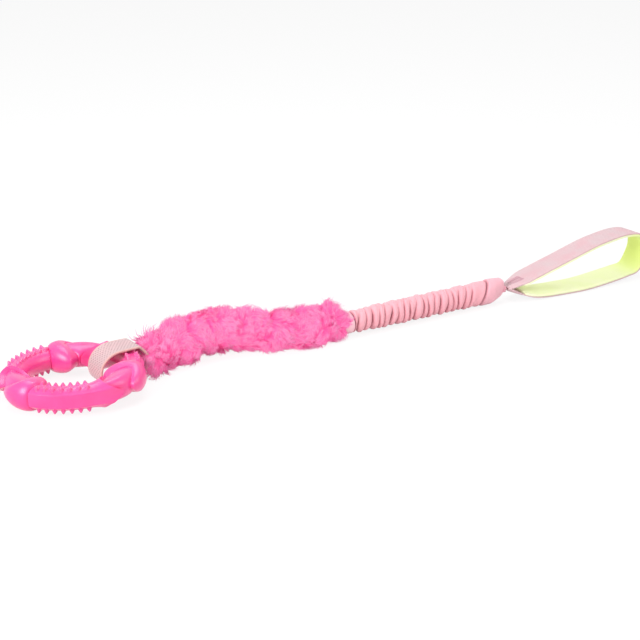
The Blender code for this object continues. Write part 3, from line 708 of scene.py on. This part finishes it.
def grow_strands(name, count):
    """One mesh of tapered three-sided strands, nearly flat, each ending in a point."""
    places, up, lock_middle_light = comb_strands(count)
    floor_gap = lowest_strand + pile_roots(0, lowest_spread, (count, 1))
    places[..., 2] = np.maximum(places[..., 2], floor_gap)
    rings = len(strand_rings) - 1
    run = unit(places[:, 1:] - places[:, :-1])
    side = unit(np.cross(up[:, None, :] + 0.01, run))
    other = np.cross(run, side)
    width = strand_width * (1 - strand_rings[:-1]) ** 0.45 * pile_roots(0.75, 1.25, (count, 1))
    corners = []
    for corner in range(3):
        angle = math.pi / 2 + corner * math.tau / 3
        spread = side * math.cos(angle) + other * math.sin(angle) * strand_flatness
        corners.append(places[:, :-1] + spread * width[..., None])
    body = np.stack(corners, axis=2).reshape(count, rings * 3, 3)
    points = np.concatenate([body, places[:, -1:]], axis=1).reshape(-1, 3)
    per_strand = rings * 3 + 1
    pattern = []
    for ring_index in range(rings - 1):
        for corner in range(3):
            after = (corner + 1) % 3
            low, high = ring_index * 3, ring_index * 3 + 3
            pattern.append((low + corner, low + after, high + after))
            pattern.append((low + corner, high + after, high + corner))
    for corner in range(3):
        pattern.append(((rings - 1) * 3 + corner, (rings - 1) * 3 + (corner + 1) % 3, rings * 3))
    faces = (np.array(pattern)[None] + np.arange(count)[:, None, None] * per_strand).reshape(-1)
    mesh = bpy.data.meshes.new(name)
    mesh.vertices.add(len(points))
    mesh.vertices.foreach_set("co", points.astype(np.float32).ravel())
    mesh.loops.add(len(faces))
    mesh.loops.foreach_set("vertex_index", faces.astype(np.int32))
    mesh.polygons.add(len(faces) // 3)
    mesh.polygons.foreach_set("loop_start", np.arange(0, len(faces), 3, dtype=np.int32))
    mesh.update(calc_edges=True)
    heights = np.concatenate([np.repeat(strand_rings[:-1], 3), [1.0]])
    # Each strand is paler towards its tip and near its lock's middle, and deep at its root and at the lock's
    # edge: painted shade for the shadows the strands don't cast.
    tone = (heights[None, :] * 0.75 + lock_middle_light[:, None] * 0.15 + pile_roots(-0.12, 0.12, (count, 1)))
    mesh.attributes.new("tone", "FLOAT", "POINT").data.foreach_set("value", tone.astype(np.float32).ravel())
    piece = bpy.data.objects.new(name, mesh)
    bpy.context.scene.collection.objects.link(piece)
    return piece


def make_fur_material(name, with_strands):
    """Pink fur with no gloss: deep at the roots and pale at the tips, as painted shade in place of the
    strands' shadows on each other.
    """
    material, tree, shader = start_material(name)
    place = add_node(tree, "ShaderNodeTexCoord").outputs["Object"]
    cloud = add_noise(tree, place, 90.0, 3.0)
    if with_strands:
        tone = add_node(tree, "ShaderNodeAttribute", attribute_name="tone").outputs["Fac"]
    else:
        # The backing, seen only between the strands, takes the deep pink of the roots: painted shade.
        tone = do_math(tree, "MULTIPLY", cloud, 0.3)
    drift = do_math(tree, "MULTIPLY_ADD", cloud, 0.5, -0.25)
    pinks = ((0.0, (0.98, 0.075, 0.31)), (0.42, (1.0, 0.145, 0.41)), (0.85, (1.0, 0.34, 0.61)))
    set_inputs(shader, {
        "Base Color": add_ramp(tree, do_math(tree, "ADD", tone, drift), pinks),
        "Roughness": 0.9,
        "Specular IOR Level": 0.0})
    return material


fur_backing = make_fur_material("fur_backing_cloth", False)
fur_pile = make_fur_material("pink_fur_pile", True)
finish_piece(backing, "fur_backing", fur_backing, "sleeve", ["fur_sleeve"])
for number in range(fur_pieces):
    pile = grow_strands(f"fur_pile_{number + 1}", strands_in_piece)
    finish_piece(pile, f"fur_pile_{number + 1}", fur_pile, "sleeve", ["fur_sleeve"])
    # The strands cast no shadows and give no bounced light; their colour paints that shade instead.
    pile.visible_shadow = False
    pile.visible_diffuse = False


# Bungee. An elastic cord in a tube of pink cloth that is much longer than the cord, so that it
# gathers into puffy folds; it starts in a smooth cuff and all of it stretches towards the neck.
def make_cloth_material(name, high, low, crease_scale):
    """Thin pink cloth with fine creases that run round the bungee: darker deep in its folds and creases and
    paler on its high places, as painted shade.
    """
    material, tree, shader = start_material(name)
    place = add_node(tree, "ShaderNodeTexCoord").outputs["Object"]
    drawn_out = add_node(tree, "ShaderNodeMapping", {"Vector": place, "Scale": (1.0, 0.3, 0.3)})
    crease = add_noise(tree, drawn_out.outputs["Vector"], crease_scale, 3.0)
    thread = add_noise(tree, place, 2400.0, 2.0)
    fold = add_node(tree, "ShaderNodeAttribute", attribute_name="fold").outputs["Fac"]
    # The fold attribute and the crease noise pick the colour from low to high: painted shade in the hollows.
    tone = add_range(tree, do_math(tree, "MULTIPLY_ADD", crease, 0.4, fold), 0.35, 1.05)
    set_inputs(shader, {
        "Base Color": mix_colours(tree, tone, low, high),
        "Normal": add_bump(tree, do_math(tree, "MULTIPLY_ADD", thread, 0.25, crease), 0.5, 0.0008),
        "Roughness": 0.85,
        "Sheen Weight": 0.3,
        "Sheen Roughness": 0.45})
    return material


tube_floor = 0.0002


def roll_tube(start, length, rows, sides, radius_at):
    """A tube along X from a flat grid: radius_at gives its radius and fold at each place."""
    bpy.ops.mesh.primitive_grid_add(x_subdivisions=rows, y_subdivisions=sides, size=1)
    piece = bpy.context.active_object
    flat = np.array([vertex.co for vertex in piece.data.vertices])
    share, turn = flat[:, 0] + 0.5, flat[:, 1] * math.tau
    turn = turn + math.pi / 2
    turn = np.where(turn > math.pi, turn - math.tau, turn)
    radius, fold = radius_at(share, turn)
    points = np.stack([start.x + share * length, start.y + radius * np.cos(turn),
                       np.maximum(start.z + radius * np.sin(turn), tube_floor)], axis=-1)
    piece.data.vertices.foreach_set("co", points.ravel())
    piece.data.attributes.new("fold", "FLOAT", "POINT").data.foreach_set("value", fold)
    close_seam(0.00002)
    return piece


cuff_gap = 0.00225
cuff_length = 0.0130
piece_gap = 0.0003
bungee_start = joint_at["bungee_bend"] + Vector((cuff_gap + cuff_length + piece_gap, 0, 0))
bungee_length = 0.1530
bungee_radius = 0.0121
gather_count = 21
gather_depth = 0.0042
ripple_depth = 0.0009
cover_thickness = 0.0005
seam_lean = 0.0062
seam_twist = 0.0042
seam_shift = 0.0020


def gathered(share, turn):
    """The cover's radius, and how high each place lies in its fold. The top is only rippled."""
    wander = 0.04 * np.sin(turn + 9 * share) + 0.06 * np.sin(2 * turn - 31 * share + 2)
    wander += 0.08 * np.sin(33 * share) + 0.06 * np.sin(57 * share + 1) - 0.20 * np.sin(turn)
    wander -= 0.42 * np.cos(turn)
    phase = gather_count * share + wander
    crest = np.abs(np.sin(math.pi * phase)) ** 0.42
    ripple = np.abs(np.sin(1.7 * math.pi * phase + 1.3 * np.sin(2 * turn + 40 * share))) ** 0.6
    on_top = np.exp(-((turn - math.pi / 2) / 0.9) ** 2) * np.clip((0.92 - share) / 0.03, 0, 1)
    uneven = 0.92 + 0.22 * np.sin(2.3 * gather_count * share + 1.4 * np.sin(turn) + 1)
    uneven *= 1 - 0.78 * np.exp(-((turn - math.pi / 2) / 0.85) ** 2)
    uneven *= 1 - np.clip((share - 0.895) / 0.035, 0, 1)
    swell = 0.85 + 0.10 * np.clip(share / 0.22, 0, 1)
    bulge = 1 + 0.030 * np.sin(39 * share + 0.8 * np.sin(turn)) + 0.03 * np.sin(61 * share + turn)
    ends = np.minimum(np.clip(share / 0.012, 0, 1), np.clip((1 - share) / 0.016, 0, 1)) ** 0.6
    deep = np.clip(uneven, 0, 1.2)
    dent = on_top * (1 - ripple)
    radius = bungee_radius * swell * bulge - gather_depth * deep * (1 - crest) - ripple_depth * dent
    # The second value, the cloth's colour, is low in the fold hollows, the top's dents and the drawn-in ends:
    # painted shade.
    return radius * (0.80 + 0.20 * ends), (1 - deep * (1 - crest)) * ends * (1 - 0.25 * dent)


def seam_slant(place, start):
    """How far the seam at the cover's end is shifted along: it runs round at a slant."""
    turn = math.atan2(place.z - start.z, place.y - start.y)
    return seam_lean * math.sin(turn) + seam_twist * math.cos(turn) + seam_shift


cloth = make_cloth_material("pink_gathered_cloth", (0.91, 0.42, 0.48), (0.38, 0.06, 0.10), 420.0)
cover = roll_tube(bungee_start, bungee_length, 440, 96, gathered)
for vertex in cover.data.vertices:
    share = (vertex.co.x - bungee_start.x) / bungee_length
    vertex.co.x += seam_slant(vertex.co, bungee_start) * share ** 12
apply_modifier(cover, "SOLIDIFY", thickness=cover_thickness, offset=-1)
finish_piece(cover, "gathered_cover", cloth, None, ["bungee_cover"])
stretch_end = bungee_start + Vector((bungee_length, 0, 0))
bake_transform(cover)


elastic_half_width = 0.0051
braid_height = 0.00012


def elastic_radius(share, turn):
    """The elastic cord's radius, with the crossing ribs of its braid."""
    braid = np.sin(260 * share + 4 * turn) * np.sin(260 * share - 4 * turn)
    # The second value colours the braid's grooves darker: painted shade.
    return elastic_half_width + braid_height * braid, 0.5 + 0.5 * braid


elastic = make_cloth_material("braided_elastic", (0.82, 0.80, 0.78), (0.55, 0.52, 0.50), 900.0)
cord = roll_tube(bungee_start, bungee_length, 240, 32, elastic_radius)
finish_piece(cord, "elastic_cord", elastic, None, ["bungee_core"])
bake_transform(cord)


fold_thickness = 0.0012


def cuff_radius(share, turn):
    """The cuff's radius: it comes out of the fur and is drawn in at both ends."""
    girth = np.interp(share, (0.0, 0.10, 0.30, 0.75, 0.93, 1.0), (0.52, 0.68, 0.80, 0.86, 0.84, 0.70))
    ripple = 0.012 * np.sin(3 * turn + 5 * share) + 0.010 * np.sin(7 * turn - 9 * share)
    return bungee_radius * (girth + ripple), np.full(share.shape, 0.9)


cuff_start = joint_at["bungee_bend"] + Vector((cuff_gap, 0, 0))
cuff_cloth = make_cloth_material("pale_cuff_cloth", (0.95, 0.56, 0.62), (0.85, 0.38, 0.46), 160.0)
cuff = roll_tube(cuff_start, cuff_length, 40, 64, cuff_radius)
apply_modifier(cuff, "SOLIDIFY", thickness=fold_thickness, offset=-1)
finish_piece(cuff, "bungee_cuff", cuff_cloth, "bungee", ["bungee_front_fold"])


# Folded end of the bungee. The cover's cloth is folded over on itself along a slanting line,
# drawn together and sewn through to the webbing tab that leads to the hand loop.
def end_fold_radius(share, turn):
    """The folded end's radius: round at the seam, flatter and puckered towards the neck."""
    girth = np.interp(share, (0.0, 0.03, 0.16, 0.42, 0.70, 0.88, 0.95, 1.0),
                      (0.98, 0.98, 1.01, 1.0, 0.97, 0.93, 0.86, 0.62))
    pinch = np.exp(-(share / 0.06) ** 2)
    late = np.clip((share - 0.40) / 0.6, 0, 1)
    raised = 1 - 0.46 * late ** 1.3 * (0.5 - 0.5 * np.sin(turn)) - 0.42 * late * np.cos(turn) ** 2
    pucker = 0.03 * np.sin(9 * turn + 2) * np.clip((share - 0.7) / 0.3, 0, 1)
    radius = bungee_radius * ((girth + pucker) * raised - 0.22 * pinch)
    # The second value colours the pinched seam darker: painted shade.
    return radius, 0.9 - 0.8 * pinch


fold_start = stretch_end + Vector((piece_gap, 0, 0))
fold_length = 0.0280
fold_cloth = make_cloth_material("pink_folded_cloth", (0.89, 0.45, 0.52), (0.66, 0.25, 0.31), 150.0)
end_fold = roll_tube(fold_start, fold_length, 160, 96, end_fold_radius)
for vertex in end_fold.data.vertices:
    share = (vertex.co.x - fold_start.x) / fold_length
    vertex.co.x += seam_slant(vertex.co, fold_start) * (1 - share) ** 2
apply_modifier(end_fold, "SOLIDIFY", thickness=fold_thickness, offset=-1)
finish_piece(end_fold, "folded_end", fold_cloth, "bungee_end", ["bungee_end_fold"])

neck = joint_at["handle_bend"]
neck_width = 0.0095
neck_thickness = 0.0062
neck_rounding = 0.0020
tab_inset = 0.0006
handle_width = 0.0280
tab_start = Vector((fold_start.x + tab_inset, neck.y, neck.z))
tab_path = [tab_start.lerp(neck, step / 10) for step in range(11)]
handle_webbing = make_webbing_material("pink_webbing", (0.73, 0.465, 0.50), (0.52, 0.27, 0.32),
                                       (0.69, 0.53, 0.55), (0.69, 0.45, 0.48), 0.0018, 0.0020, 0.0003,
                                       handle_width)
tab = lay_strap(tab_path, [Vector((0, 1, 0))] * len(tab_path), [neck_width] * len(tab_path),
                neck_thickness, cells=8, edge=neck_rounding)
finish_piece(tab, "neck_tab_webbing", cuff_cloth, "bungee_end", ["neck_tab"],
             crisp_angle)


# Hand loop. A strip of pink webbing, lined inside with lime fleece, opens out from the neck, goes
# up over the hand and comes back underneath; near the neck it is gathered and sewn with a zigzag.
handle_thickness = 0.0013
handle_length = 0.1710
handle_height = 0.0360
handle_sway = 0.0100
handle_gap = 0.00225
gather_reach = 0.030
gather_height = 0.0011
lower_roll = math.radians(6)
upper_arm = ((0.08, 0.13), (0.20, 0.34), (0.34, 0.54), (0.54, 0.82), (0.70, 0.95), (0.82, 1.00),
             (0.92, 0.95), (0.985, 0.78))
far_bend = ((1.0, 0.54), (0.985, 0.26))
lower_arm = ((0.93, 0.21), (0.84, 0.115), (0.70, 0.045), (0.54, 0.0), (0.34, 0.0), (0.20, 0.03),
             (0.10, 0.13))
handle_sways = ((0.0, 0.0), (0.2, -0.6), (0.5, -1.0), (1.0, -0.9))


def handle_width_at(share):
    """The webbing's width at a share of the hand loop's length."""
    return neck_width + (handle_width - neck_width) * min(share / 0.12, 1) ** 0.7


layer = (handle_thickness + webbing_gap) / 2
start_share = handle_gap / handle_length
knots = [Vector((start_share, layer, 0))]
knots += [Vector((x, layer + z * handle_height, 0)) for x, z in upper_arm + far_bend]
for x, z in lower_arm:
    roll = lower_roll * min((1 - x) * 5, 1) * min(x * 5, 1)
    rest = handle_width_at(x) / 2 * math.sin(roll) + handle_thickness / 2 + webbing_gap
    knots.append(Vector((x, rest + z * handle_height - neck.z, roll)))
knots.append(Vector((start_share, -layer, 0)))
handle_path, handle_across, handle_widths = [], [], []
for x, height, roll in smooth_through(knots, 8):
    side = np.interp(x, *zip(*handle_sways)) * handle_sway
    handle_path.append(neck + Vector((x * handle_length, side, height)))
    handle_across.append(Vector((0, math.cos(roll), math.sin(roll))))
    handle_widths.append(handle_width_at(x))


def neck_gather(index, offset):
    """Lengthwise folds where the webbing is drawn together at the neck."""
    drawn = max(1 - (handle_path[index].x - neck.x) / gather_reach, 0)
    return gather_height * drawn * math.cos(offset * math.tau * 2)


grip = lay_strap(handle_path, handle_across, handle_widths, handle_thickness, cells=20, sag=neck_gather)
finish_piece(grip, "hand_loop_webbing", handle_webbing, "hand_loop", ["handle_webbing"],
             crisp_angle)

lining_thickness = 0.0022
lining_rounding = 0.0008
lining_start_share = 0.09
lining_lift = (handle_thickness + lining_thickness) / 2
lining_start = neck.x + lining_start_share * handle_length
lined = [index for index, point in enumerate(handle_path) if point.x >= lining_start]
fleece, tree, shader = start_material("lime_fleece")
place = add_node(tree, "ShaderNodeTexCoord").outputs["Object"]
nap = add_noise(tree, place, 900.0, 4.0)
cloud = add_noise(tree, place, 70.0, 3.0)
tone = add_range(tree, do_math(tree, "MULTIPLY_ADD", nap, 0.4, cloud), 0.5, 0.9)
pale = mix_colours(tree, tone, (0.94, 1.0, 0.60), (0.97, 1.0, 0.69))
# The far bend is coloured a deeper lime: painted shade where the loop turns away from the light.
along = add_node(tree, "ShaderNodeSeparateXYZ", {0: place}).outputs["X"]
far_bend_shade = add_range(tree, along, neck.x + 0.80 * handle_length, neck.x + 0.96 * handle_length)
set_inputs(shader, {
    "Base Color": mix_colours(tree, far_bend_shade, pale, (0.88, 1.0, 0.31)),
    "Normal": add_bump(tree, nap, 0.5, 0.0005),
    "Roughness": 0.95,
    "Sheen Weight": 0.8,
    "Sheen Roughness": 0.5,
    "Sheen Tint": (0.97, 1.0, 0.78, 1)})
lining = lay_strap([handle_path[index] for index in lined], [handle_across[index] for index in lined],
                   [handle_widths[index] for index in lined], lining_thickness,
                   lift=lining_lift, cells=20, edge=lining_rounding)
finish_piece(lining, "lime_lining", fleece, "hand_loop", ["handle_lining"], crisp_angle)


# Zigzag seam. Darker pink thread sews the two arms of the hand loop together next to the neck: each
# stitch is a short thread that rises out of the cloth and goes in again.
thread, tree, shader = start_material("pink_thread")
place = add_node(tree, "ShaderNodeTexCoord").outputs["Object"]
twist = add_noise(tree, place, 2500.0, 2.0)
set_inputs(shader, {"Base Color": mix_colours(tree, twist, (0.63, 0.37, 0.44), (0.73, 0.46, 0.53)),
                    "Roughness": 0.7})
thread_radius = 0.00026
zigzags = 7
zigzag_start = 0.0072
zigzag_pitch = 0.0018
zigzag_reach = 0.0062


def stitch(start, end, up):
    """One stitch: a thread that rises out of the cloth, lies on it and goes in again."""
    middle = (start + end) / 2 + up * thread_radius * 0.8
    curve = bpy.data.curves.new("stitch", "CURVE")
    curve.dimensions = "3D"
    curve.bevel_depth = thread_radius
    curve.bevel_resolution = 1
    line = curve.splines.new("POLY")
    line.points.add(4)
    dip = up * -thread_radius
    rise = up * thread_radius * 0.4
    points = (start + dip, start.lerp(middle, 0.4) + rise, middle, end.lerp(middle, 0.4) + rise, end + dip)
    for knot, point in zip(line.points, points):
        knot.co = (*point, 1)
    piece = bpy.data.objects.new("stitch", curve)
    bpy.context.scene.collection.objects.link(piece)
    return piece


def join_stitches(stitches):
    """Make the stitches one mesh."""
    bpy.ops.object.select_all(action="DESELECT")
    for piece in stitches:
        piece.select_set(True)
    bpy.context.view_layer.objects.active = stitches[0]
    bpy.ops.object.convert(target="MESH")
    bpy.ops.object.join()
    return bpy.context.active_object


def on_upper_arm(reach, offset):
    """A place on the top of the upper arm, and its up direction."""
    after = next(index for index, point in enumerate(handle_path) if point.x > neck.x + reach)
    before = handle_path[after - 1]
    share = (neck.x + reach - before.x) / (handle_path[after].x - before.x)
    up = handle_across[after].cross(handle_path[after] - before).normalized()
    fold = neck_gather(after, offset / handle_widths[after])
    return before.lerp(handle_path[after], share) - up * (handle_thickness / 2 - fold) \
        + handle_across[after] * offset, -up


zigzag = []
for count in range(zigzags):
    for row in (-zigzag_reach, zigzag_reach):
        start, up = on_upper_arm(zigzag_start + count * zigzag_pitch, row)
        end, up = on_upper_arm(zigzag_start + (count + 0.5) * zigzag_pitch, -row)
        zigzag.append(stitch(start, end, up))
tack = join_stitches(zigzag)
finish_piece(tack, "zigzag_seam", thread, "hand_loop", ["handle_tack"])
